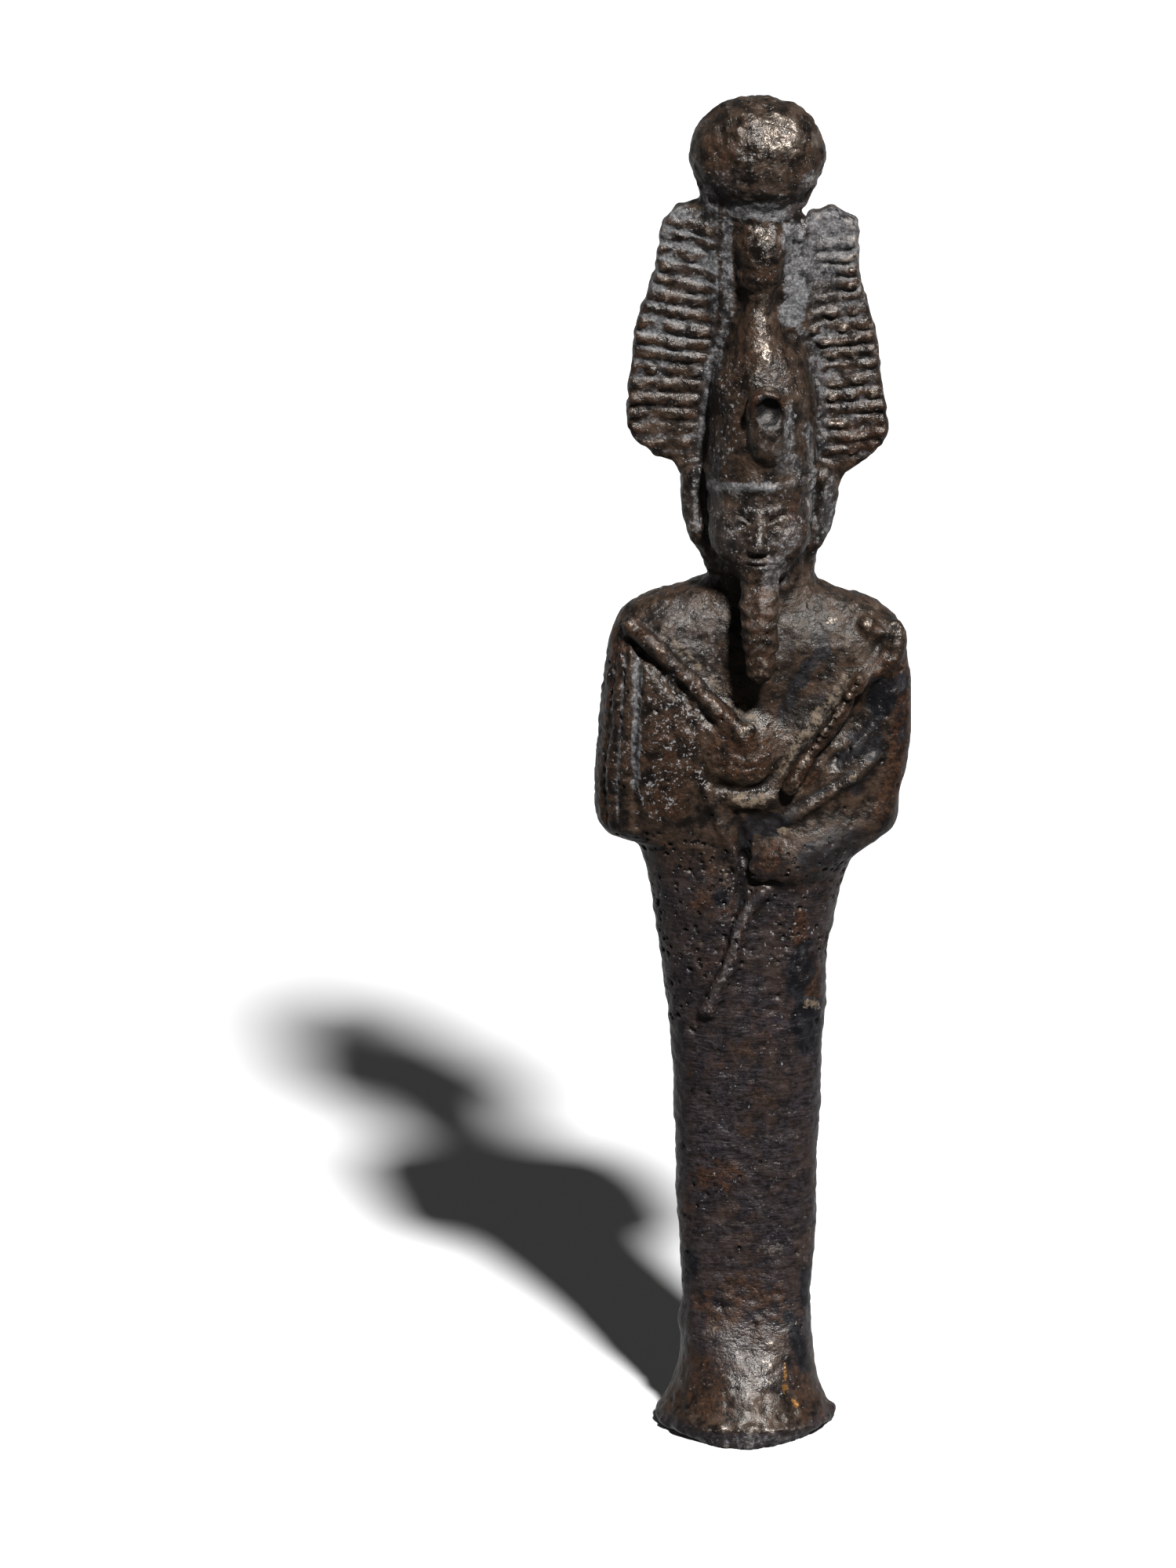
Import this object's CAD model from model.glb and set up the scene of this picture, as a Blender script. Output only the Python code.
"""Bronze votive figure: the fine casting skin, its patina, floor, light and camera.

The skin is one closed mesh. Its forms are summed as a distance field on a grid
(the same sizes as the solid casting, in millimetres), turned into faces, and
then worked over point by point: barbs, plaits, pores, chips and corrosion.
"""

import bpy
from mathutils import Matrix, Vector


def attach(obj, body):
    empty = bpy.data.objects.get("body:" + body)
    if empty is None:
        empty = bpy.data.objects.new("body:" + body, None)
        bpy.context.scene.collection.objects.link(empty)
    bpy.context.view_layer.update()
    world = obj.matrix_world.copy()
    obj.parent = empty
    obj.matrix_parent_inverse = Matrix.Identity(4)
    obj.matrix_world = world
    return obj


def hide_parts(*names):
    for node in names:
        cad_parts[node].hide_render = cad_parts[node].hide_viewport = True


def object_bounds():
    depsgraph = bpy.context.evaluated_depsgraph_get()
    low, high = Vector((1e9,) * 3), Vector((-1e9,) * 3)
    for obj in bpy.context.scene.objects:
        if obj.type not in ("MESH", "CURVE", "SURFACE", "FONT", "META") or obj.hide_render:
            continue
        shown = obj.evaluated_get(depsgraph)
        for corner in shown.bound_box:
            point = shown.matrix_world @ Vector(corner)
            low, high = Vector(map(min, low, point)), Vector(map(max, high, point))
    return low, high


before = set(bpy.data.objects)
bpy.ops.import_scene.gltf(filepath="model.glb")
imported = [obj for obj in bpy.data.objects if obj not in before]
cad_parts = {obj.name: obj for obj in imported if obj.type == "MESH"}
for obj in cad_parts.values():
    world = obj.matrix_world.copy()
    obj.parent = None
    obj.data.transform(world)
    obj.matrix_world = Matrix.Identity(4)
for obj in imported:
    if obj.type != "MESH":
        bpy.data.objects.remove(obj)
CAD_BOX = [list(c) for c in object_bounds()]

import math

import bpy
import numpy as np
from mathutils import Vector

MM = 0.001
# from the modelling axes of the casting to the frame's origin, mm
SHIFT = np.array([-0.1315, 1.9101, 0.0])

# The picture's scale: a pixel is 0.07 mm, the camera looks down 20 degrees,
# and the modelling origin is seen at column 958, row 1806.
PX, COL0, ROW0 = 0.07, 958.0, 1806.0
TILT = math.radians(20.0)
CT, ST = math.cos(TILT), math.sin(TILT)

# ------------------------------------------------------------ sections (mm)
# height, left x, right x, front, back, roundness, y of widest line
BODY = (
    (-1.60, -8.20, 7.10, 8.85, 4.90, 1.7, 0.30),
    (0.00, -8.15, 7.20, 8.90, 4.95, 1.7, 0.20),
    (0.60, -8.48, 7.50, 8.98, 5.00, 1.85, -0.60),
    (1.10, -8.22, 7.25, 8.98, 5.00, 1.95, -1.00),
    (1.60, -8.00, 6.96, 8.85, 4.95, 2.05, -1.00),
    (2.10, -7.72, 6.70, 8.55, 4.90, 2.1, -1.00),
    (2.80, -7.38, 6.40, 8.10, 4.75, 2.0, -0.95),
    (4.45, -6.79, 5.88, 7.25, 4.50, 1.95, -0.70),
    (6.50, -6.37, 5.67, 6.00, 4.10, 2.05, -0.50),
    (8.70, -6.23, 5.46, 4.75, 3.80, 2.8, -0.20),
    (12.40, -6.16, 5.32, 3.75, 3.60, 2.8, 0.00),
    (15.40, -6.30, 5.60, 3.65, 3.55, 2.8, 0.00),
    (19.80, -6.58, 5.88, 3.70, 3.60, 2.8, 0.00),
    (24.30, -6.79, 6.02, 3.82, 3.75, 2.8, 0.00),
    (30.20, -6.79, 6.09, 4.00, 3.95, 2.8, 0.00),
    (34.70, -7.00, 6.23, 4.20, 4.10, 2.8, 0.00),
    (39.20, -7.49, 6.72, 4.36, 4.20, 2.8, 0.00),
    (45.10, -8.19, 7.00, 4.60, 4.45, 2.7, 0.00),
    (50.50, -9.03, 8.05, 4.85, 4.70, 2.6, 0.00),
    (54.10, -9.94, 9.38, 5.00, 4.85, 2.5, 0.00),
    (55.40, -10.60, 10.36, 5.05, 4.90, 2.5, 0.00),
    (56.50, -11.60, 11.41, 5.15, 4.95, 2.5, 0.00),
    (57.70, -12.30, 12.32, 5.20, 5.00, 2.5, 0.00),
    (60.00, -12.80, 13.02, 5.30, 5.05, 2.5, 0.00),
    (63.00, -13.10, 13.79, 5.30, 5.05, 2.5, 0.00),
    (68.40, -13.00, 14.14, 5.25, 5.00, 2.5, 0.00),
    (72.00, -12.70, 13.86, 4.95, 4.90, 2.5, 0.00),
    (74.30, -12.45, 13.51, 4.60, 4.75, 2.5, 0.00),
    (75.50, -12.11, 13.09, 4.20, 4.60, 2.4, 0.00),
    (76.70, -11.55, 11.97, 3.70, 4.30, 2.3, 0.00),
    (77.60, -10.50, 10.64, 3.20, 4.00, 2.2, 0.00),
    (78.20, -9.10, 9.03, 2.80, 3.60, 2.2, 0.00),
    (78.80, -6.86, 7.49, 2.60, 3.40, 2.1, 0.20),
    (79.60, -4.20, 5.80, 2.60, 3.40, 2.0, 0.40),
)
NECK = (
    (76.60, -4.80, 6.50, 3.20, 3.60, 2.0, 0.30),
    (78.00, -4.60, 6.30, 3.30, 3.80, 2.0, 0.30),
    (79.50, -3.85, 5.60, 3.30, 4.05, 2.0, 0.40),
    (81.50, -3.72, 5.44, 3.40, 4.30, 2.0, 0.40),
    (86.00, -3.80, 5.30, 3.60, 4.60, 2.0, 0.40),
)
HEAD = (
    (80.80, -0.60, 2.10, 5.50, 3.40, 2.0, -2.00),
    (81.30, -1.60, 3.00, 6.40, 4.00, 2.0, -1.60),
    (82.40, -2.60, 4.00, 6.80, 4.60, 2.1, -1.00),
    (83.80, -3.30, 4.70, 6.85, 4.90, 2.1, -0.60),
    (85.60, -3.85, 5.25, 6.75, 5.10, 2.2, -0.30),
    (87.60, -4.05, 5.45, 6.50, 5.20, 2.2, 0.00),
    (89.60, -4.00, 5.50, 6.35, 5.20, 2.2, 0.00),
    (92.00, -3.80, 5.50, 6.00, 5.10, 2.1, 0.00),
)
CROWN = (
    (89.30, -4.20, 5.85, 6.45, 5.00, 2.1, 0.00),
    (90.20, -4.18, 5.70, 6.75, 5.00, 2.1, 0.00),
    (91.20, -4.06, 5.60, 6.70, 4.90, 2.1, 0.00),
    (94.90, -3.68, 5.74, 6.20, 4.70, 2.1, 0.10),
    (98.20, -3.45, 5.55, 5.50, 4.40, 2.1, 0.20),
    (99.80, -3.05, 5.25, 5.05, 4.25, 2.1, 0.25),
    (101.20, -2.35, 4.80, 4.50, 4.10, 2.1, 0.30),
    (102.30, -2.00, 4.00, 3.95, 3.90, 2.1, 0.40),
    (103.00, -1.80, 3.00, 3.65, 3.80, 2.1, 0.40),
    (104.60, -1.40, 2.52, 2.90, 3.40, 2.1, 0.50),
    (106.20, -0.75, 2.15, 2.20, 3.00, 2.1, 0.60),
    (107.00, -0.90, 2.20, 2.25, 3.10, 2.2, 0.60),
    (108.40, -1.40, 2.78, 2.75, 3.20, 2.4, 0.60),
    (110.20, -1.52, 3.00, 2.95, 3.30, 2.5, 0.60),
    (111.40, -1.54, 3.38, 3.00, 3.30, 2.5, 0.60),
    (112.50, -1.48, 3.35, 2.75, 3.10, 2.4, 0.60),
    (113.20, -1.15, 2.95, 2.25, 3.00, 2.3, 0.60),
    (113.75, -0.60, 2.30, 1.50, 2.80, 2.2, 0.60),
)
# the upper arm on the flail's side, with a rounded lower end
SLEEVE = (
    (55.55, -11.60, -7.00, 1.80, 1.60, 2.2, 0.0),
    (55.85, -12.60, -6.00, 2.90, 2.60, 2.2, 0.0),
    (56.35, -13.30, -5.50, 3.70, 3.30, 2.2, 0.0),
    (57.10, -13.75, -5.00, 4.25, 3.80, 2.3, 0.0),
    (58.60, -14.00, -5.00, 4.60, 4.00, 2.4, 0.0),
    (61.20, -13.98, -5.00, 4.75, 4.20, 2.4, 0.0),
    (63.60, -13.78, -5.00, 4.85, 4.25, 2.4, 0.0),
    (66.00, -13.52, -5.00, 4.85, 4.30, 2.4, 0.0),
    (68.40, -13.30, -5.00, 4.80, 4.30, 2.4, 0.0),
    (70.80, -12.98, -5.00, 4.65, 4.20, 2.4, 0.0),
    (73.10, -12.70, -5.00, 4.30, 4.00, 2.4, 0.0),
    (75.00, -12.15, -5.50, 3.60, 3.60, 2.3, 0.0),
    (76.20, -11.40, -6.00, 2.80, 3.00, 2.2, 0.0),
)
BEARD = (
    (72.55, 0.30, 1.25, 8.30, -7.50, 2.0, -7.90),
    (73.10, -0.25, 1.75, 8.80, -6.95, 2.0, -7.85),
    (74.20, -0.60, 2.10, 9.05, -6.50, 2.1, -7.75),
    (76.50, -0.80, 2.30, 8.90, -6.00, 2.2, -7.45),
    (79.00, -0.95, 2.42, 8.40, -5.40, 2.2, -6.90),
    (80.40, -1.00, 2.48, 7.85, -4.90, 2.2, -6.40),
    (81.30, -0.90, 2.35, 7.20, -4.60, 2.2, -6.00),
)
# outline of the plate behind the crown: x, z
PLUME_LEFT = (
    (-4.50, 116.90), (-4.41, 114.80), (-5.46, 114.51), (-6.58, 114.36),
    (-7.63, 113.17), (-8.19, 111.97), (-8.33, 109.89), (-8.61, 108.10),
    (-9.24, 106.31), (-9.87, 104.52), (-10.36, 102.74), (-10.64, 100.06),
    (-10.92, 97.37), (-11.13, 95.29), (-10.99, 93.80), (-10.50, 92.90),
    (-9.52, 92.01), (-8.75, 91.12), (-6.72, 90.45), (-6.23, 89.63),
)
PLUME_RIGHT = (
    (7.70, 88.58), (8.26, 89.48), (9.59, 90.22), (10.71, 91.12),
    (11.41, 92.01), (11.83, 92.90), (12.04, 93.80), (11.90, 95.59),
    (11.55, 97.37), (11.20, 100.06), (10.85, 102.74), (10.43, 104.52),
    (9.80, 106.31), (9.52, 108.70), (9.66, 111.97), (9.24, 113.17),
    (7.91, 113.76), (6.79, 114.21), (5.46, 113.76), (4.83, 112.94),
    (3.85, 114.06), (4.76, 114.95), (5.45, 116.70),
)
PLATE_FRONT, PLATE_BACK = 0.45, 2.45


# ------------------------------------------------------------ field tools
def sections(rows, z):
    """Every column of the section table at each height, without overshoot."""
    t = np.array(rows, float)
    zz, cols = t[:, 0], t[:, 1:]
    d = np.diff(cols, axis=0) / np.diff(zz)[:, None]
    m = np.zeros_like(cols)
    a, b = d[:-1], d[1:]
    with np.errstate(divide="ignore", invalid="ignore"):
        m[1:-1] = np.where(a * b > 0, 2 * a * b / (a + b), 0.0)
    z = np.clip(np.atleast_1d(np.asarray(z, float)), zz[0], zz[-1])
    i = np.clip(np.searchsorted(zz, z, side="right") - 1, 0, len(zz) - 2)
    h = (zz[i + 1] - zz[i])[:, None]
    s = (z - zz[i])[:, None] / h
    return (
        (2 * s**3 - 3 * s**2 + 1) * cols[i]
        + (s**3 - 2 * s**2 + s) * m[i] * h
        + (3 * s**2 - 2 * s**3) * cols[i + 1]
        + (s**3 - s**2) * m[i + 1] * h
    )


def front(x, z, rows=BODY):
    left, right, ahead, _, n, mid = sections(rows, z)[0]
    u = min(1.0, abs(x - (left + right) / 2) / ((right - left) / 2))
    return mid - (ahead + mid) * (1 - u**n) ** (1 / n)


def smin(a, b, k):
    h = np.maximum(k - np.abs(a - b), 0.0) / k
    return np.minimum(a, b) - h * h * k * 0.25


def ramp(x, a, b):
    """0 at a, 1 at b, smooth between."""
    t = np.clip((x - a) / (b - a), 0.0, 1.0)
    return t * t * (3 - 2 * t)


class Field:
    def __init__(self, x, y, z):
        self.x, self.y, self.z = x, y, z
        self.f = np.full((len(x), len(y), len(z)), 9.0, np.float32)

    def part(self, lo, hi):
        """Slices and open coordinate arrays of the grid inside a box."""
        out, axes = [], []
        for axis, a, b in zip((self.x, self.y, self.z), lo, hi):
            i, j = np.searchsorted(axis, a), np.searchsorted(axis, b)
            out.append(slice(max(0, i - 1), min(len(axis), j + 1)))
        sl = tuple(out)
        shapes = ((-1, 1, 1), (1, -1, 1), (1, 1, -1))
        for axis, s, shape in zip((self.x, self.y, self.z), sl, shapes):
            axes.append(axis[s].reshape(shape).astype(np.float32))
        return sl, axes

    def join(self, sl, d, k):
        self.f[sl] = smin(self.f[sl], d.astype(np.float32), k)

    def carve(self, sl, d, k):
        self.f[sl] = -smin(-self.f[sl], d.astype(np.float32), k)

    def put(self, sl, d, k, cut):
        (self.carve if cut else self.join)(sl, d, k)

    # -- forms
    def loft(self, rows, k=0.6, margin=1.8):
        z0, z1 = rows[0][0], rows[-1][0]
        t = np.array(rows)
        lo = (t[:, 1].min() - margin, -t[:, 3].max() - margin, z0 - margin)
        hi = (t[:, 2].max() + margin, t[:, 4].max() + margin, z1 + margin)
        sl, (x, y, z) = self.part(lo, hi)
        s = sections(rows, z.ravel()).astype(np.float32)
        left, right, ahead, behind, n, mid = (c.reshape(1, 1, -1) for c in s.T)
        u = np.abs(x - (left + right) / 2) / ((right - left) / 2)
        v = np.where(y < mid, (mid - y) / (ahead + mid), (y - mid) / (behind - mid))
        g = (u**n + v**n) ** (1 / n)
        gx, gy, gz = np.gradient(g, x.ravel(), y.ravel(), z.ravel())
        d = (g - 1) / np.maximum(np.sqrt(gx * gx + gy * gy + gz * gz), 0.03)
        d = np.clip(d, -5, 5)
        d = np.maximum(d, np.maximum(z0 - z, z - z1))
        self.join(sl, d, k)

    def ball(self, c, r, k=0.6, turn=(0, 0, 0), cut=False, power=2.0):
        """Ellipsoid, or a squarer body when power is over 2; turn in degrees."""
        big = max(r) * 1.25 + k + 0.6
        sl, (x, y, z) = self.part([q - big for q in c], [q + big for q in c])
        p = np.stack(np.broadcast_arrays(x - c[0], y - c[1], z - c[2]), -1)
        m = np.eye(3)
        for i, deg in enumerate(turn):
            a, b = (i + 1) % 3, (i + 2) % 3
            q = np.eye(3)
            q[a, a] = q[b, b] = math.cos(math.radians(deg))
            q[a, b], q[b, a] = -math.sin(math.radians(deg)), math.sin(math.radians(deg))
            m = m @ q
        p = np.abs(p @ m.astype(np.float32)) / np.array(r, np.float32)
        if power == 2.0:
            k0 = np.sqrt((p * p).sum(-1))
            k1 = np.sqrt(((p / np.array(r, np.float32)) ** 2).sum(-1))
            d = k0 * (k0 - 1) / np.maximum(k1, 1e-4)
        else:
            g = (p**power).sum(-1) ** (1 / power)
            grad = ((p ** (power - 1)) / np.array(r, np.float32))
            norm = np.sqrt((grad * grad).sum(-1)) / np.maximum(g, 1e-4) ** (power - 1)
            d = (g - 1) / np.maximum(norm, 1e-3)
        self.put(sl, np.clip(d, -5, 5), k, cut)

    def bar(self, points, radii, k=0.4, cut=False):
        """A round bar through the points, thick as the radii say."""
        points = [np.asarray(p, np.float32) for p in points]
        if np.isscalar(radii):
            radii = [radii] * len(points)
        big = max(radii) + k + 0.6
        lo = np.min(points, 0) - big
        hi = np.max(points, 0) + big
        sl, (x, y, z) = self.part(lo, hi)
        best = None
        for a, b, ra, rb in zip(points, points[1:], radii, radii[1:]):
            ab = b - a
            n = max(float(ab @ ab), 1e-9)
            px, py, pz = x - a[0], y - a[1], z - a[2]
            t = np.clip((px * ab[0] + py * ab[1] + pz * ab[2]) / n, 0, 1)
            d = np.sqrt((px - t * ab[0]) ** 2 + (py - t * ab[1]) ** 2 + (pz - t * ab[2]) ** 2)
            d = d - (ra + (rb - ra) * t)
            best = d if best is None else np.minimum(best, d)
        self.put(sl, best, k, cut)

    # -- where the front skin is now
    def skin(self, x, z):
        i = int(np.clip(np.searchsorted(self.x, x), 1, len(self.x) - 1))
        k = int(np.clip(np.searchsorted(self.z, z), 1, len(self.z) - 1))
        tx = (x - self.x[i - 1]) / (self.x[i] - self.x[i - 1])
        tz = (z - self.z[k - 1]) / (self.z[k] - self.z[k - 1])
        c = self.f[i - 1 : i + 1, :, k - 1 : k + 1]
        c = c[0] * (1 - tx) + c[1] * tx
        c = c[:, 0] * (1 - tz) + c[:, 1] * tz
        inside = np.nonzero(c < 0)[0]
        if len(inside) == 0 or inside[0] == 0:
            return 0.0
        j = inside[0]
        t = c[j - 1] / (c[j - 1] - c[j])
        return float(self.y[j - 1] + (self.y[j] - self.y[j - 1]) * t)

    def at(self, col, row, out=0.0):
        """The point of the front skin seen at a column and row, moved outward."""
        x = (col - COL0) * PX
        y = -4.0
        for _ in range(14):
            z = ((ROW0 - row) * PX - y * ST) / CT
            y += 0.6 * (self.skin(x, z) - y)
        return np.array([x, y - out, z], np.float32)

    def trace(self, path, out=0.0, step=14.0):
        """Points of the skin along a path of (column, row)."""
        line = []
        for (ca, ra), (cb, rb) in zip(path, path[1:]):
            n = max(1, int(math.hypot(cb - ca, rb - ra) / step))
            for i in range(n):
                t = i / n
                line.append((ca + (cb - ca) * t, ra + (rb - ra) * t))
        line.append(path[-1])
        return [self.at(c, r, out) for c, r in line]

    def ridge(self, path, radius, out, k=0.35, end=None, cut=False):
        points = self.trace(path, out)
        last = radius if end is None else end
        n = len(points) - 1
        self.bar(points, [radius + (last - radius) * i / n for i in range(n + 1)], k, cut)


def polygon_distance(x, z, poly):
    """Signed distance in the plane to a closed outline, negative inside."""
    p = np.array(poly, float)
    d = np.full(np.broadcast(x, z).shape, 1e9)
    sign = np.ones_like(d)
    for i in range(len(p)):
        a, b = p[i], p[i - 1]
        ex, ez = b - a
        wx, wz = x - a[0], z - a[1]
        t = np.clip((wx * ex + wz * ez) / (ex * ex + ez * ez), 0, 1)
        d = np.minimum(d, (wx - ex * t) ** 2 + (wz - ez * t) ** 2)
        c1, c2, c3 = z >= a[1], z < b[1], ex * wz > ez * wx
        sign = np.where((c1 & c2 & c3) | (~c1 & ~c2 & ~c3), -sign, sign)
    return sign * np.sqrt(d)


def hash01(i, j, k, seed):
    """A repeatable number from 0 to 1 for each lattice point."""
    h = (i * 374761393 + j * 668265263 + k * 2147483647 + seed * 1274126177) & 0xFFFFFFFF
    h = ((h ^ (h >> 13)) * 1274126177) & 0xFFFFFFFF
    h = ((h ^ (h >> 16)) * 2246822519) & 0xFFFFFFFF
    return ((h ^ (h >> 15)) & 0xFFFFFF) / float(0xFFFFFF)


def noise(p, size, seed=0):
    """Smooth value noise, about -1 to 1, at points p, with cells of that size."""
    q = p / np.asarray(size, float)
    i = np.floor(q).astype(np.int64)
    f = q - i
    w = f * f * f * (f * (f * 6 - 15) + 10)
    out = 0.0
    for a in (0, 1):
        wa = w[:, 0] if a else 1 - w[:, 0]
        for b in (0, 1):
            wb = w[:, 1] if b else 1 - w[:, 1]
            for c in (0, 1):
                wc = w[:, 2] if c else 1 - w[:, 2]
                out = out + wa * wb * wc * hash01(i[:, 0] + a, i[:, 1] + b, i[:, 2] + c, seed)
    return (out - 0.5) * 2.6


def fbm(p, size, seed=0, octaves=3, gain=0.5):
    out, amp, s = 0.0, 1.0, np.asarray(size, float)
    for o in range(octaves):
        out = out + amp * noise(p, s, seed + 17 * o)
        amp *= gain
        s = s / 2.03
    return out


def cells(p, size, seed=0):
    """Distance to the nearest scattered point, in cell sizes, and its number."""
    q = p / np.asarray(size, float)
    base = np.floor(q).astype(np.int64)
    best = np.full(len(p), 9.0)
    tag = np.zeros(len(p))
    for a in (-1, 0, 1):
        for b in (-1, 0, 1):
            for c in (-1, 0, 1):
                i = base + (a, b, c)
                o = np.stack([hash01(i[:, 0], i[:, 1], i[:, 2], seed + s) for s in (1, 2, 3)], 1)
                d = np.sqrt(((i + o - q) ** 2).sum(1))
                near = d < best
                best = np.where(near, d, best)
                tag = np.where(near, hash01(i[:, 0], i[:, 1], i[:, 2], seed + 9), tag)
    return best, tag


def surface(field):
    """One vertex in each cell that the surface passes, one face at each edge."""
    f, ax = field.f, (field.x, field.y, field.z)
    inside = f < 0
    corners = [(a, b, c) for a in (0, 1) for b in (0, 1) for c in (0, 1)]
    shape = tuple(n - 1 for n in f.shape)

    def window(arr, a, b, c):
        return arr[a : a + shape[0], b : b + shape[1], c : c + shape[2]]

    count = np.zeros(shape, np.int8)
    for c in corners:
        count += window(inside, *c)
    active = (count > 0) & (count < 8)
    ids = np.full(shape, -1, np.int32)
    cell = np.argwhere(active)
    ids[active] = np.arange(len(cell))
    values = [f[tuple((cell + c).T)] for c in corners]
    places = [
        np.stack([ax[n][cell[:, n] + c[n]] for n in range(3)], 1) for c in corners
    ]
    total = np.zeros((len(cell), 3))
    hits = np.zeros(len(cell))
    for i, ca in enumerate(corners):
        for j, cb in enumerate(corners):
            if j <= i or sum(abs(p - q) for p, q in zip(ca, cb)) != 1:
                continue
            cross = (values[i] < 0) != (values[j] < 0)
            t = np.where(cross, values[i] / np.where(cross, values[i] - values[j], 1), 0)
            total += np.where(cross[:, None], places[i] + (places[j] - places[i]) * t[:, None], 0)
            hits += cross
    verts = total / hits[:, None]

    quads = []
    for axis in range(3):
        o1, o2 = (axis + 1) % 3, (axis + 2) % 3
        lo = [slice(None)] * 3
        hi = [slice(None)] * 3
        lo[axis], hi[axis] = slice(None, -1), slice(1, None)
        a, b = inside[tuple(lo)], inside[tuple(hi)]
        edge = np.argwhere(a != b)
        keep = (edge[:, o1] > 0) & (edge[:, o2] > 0)
        keep &= (edge[:, o1] < shape[o1]) & (edge[:, o2] < shape[o2])
        edge = edge[keep]
        out = a[tuple(edge.T)]
        ring = []
        for s1, s2 in ((-1, -1), (0, -1), (0, 0), (-1, 0)):
            c = edge.copy()
            c[:, o1] += s1
            c[:, o2] += s2
            ring.append(ids[tuple(c.T)])
        q = np.stack(ring, 1)
        q[~out] = q[~out][:, ::-1]
        quads.append(q)
    return verts, np.concatenate(quads)


def box_blur(f, widths):
    """Mean over a box, the same number of grid steps each way."""
    out = f.astype(np.float32)
    for axis, w in enumerate(widths):
        pad = [(0, 0)] * 3
        pad[axis] = (w + 1, w)
        c = np.cumsum(np.pad(out, pad, mode="edge"), axis=axis, dtype=np.float64)
        n = out.shape[axis]
        hi = np.take(c, np.arange(2 * w + 1, 2 * w + 1 + n), axis)
        lo = np.take(c, np.arange(0, n), axis)
        out = ((hi - lo) / (2 * w + 1)).astype(np.float32)
    return out


def sample(field, arr, p):
    """The grid's value at points, linear between grid points."""
    idx, frac = [], []
    for axis, col in zip((field.x, field.y, field.z), p.T):
        i = np.clip(np.searchsorted(axis, col) - 1, 0, len(axis) - 2)
        idx.append(i)
        frac.append(np.clip((col - axis[i]) / (axis[i + 1] - axis[i]), 0, 1))
    out = 0.0
    for a in (0, 1):
        for b in (0, 1):
            for c in (0, 1):
                w = (
                    (frac[0] if a else 1 - frac[0])
                    * (frac[1] if b else 1 - frac[1])
                    * (frac[2] if c else 1 - frac[2])
                )
                out = out + w * arr[idx[0] + a, idx[1] + b, idx[2] + c]
    return out


# ------------------------------------------------------------ the casting
def steps(a, b, fine, coarse, change):
    """Grid lines from a to b, coarse below the change and fine above."""
    low = np.arange(a, change, coarse)
    return np.concatenate([low, np.arange(low[-1] + fine, b, fine)])


FINE = 0.19
GRID = Field(
    np.arange(-14.9, 15.1, FINE),
    np.arange(-10.2, 6.2, FINE),
    steps(-0.8, 125.6, FINE, FINE * 1.25, 50.0),
)

# the crook's lower end, by column and row of the picture
ROD = ((970, 1138), (956, 1154), (946, 1172), (940, 1192), (935, 1212), (927, 1235), (915, 1258), (902, 1285))


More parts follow.
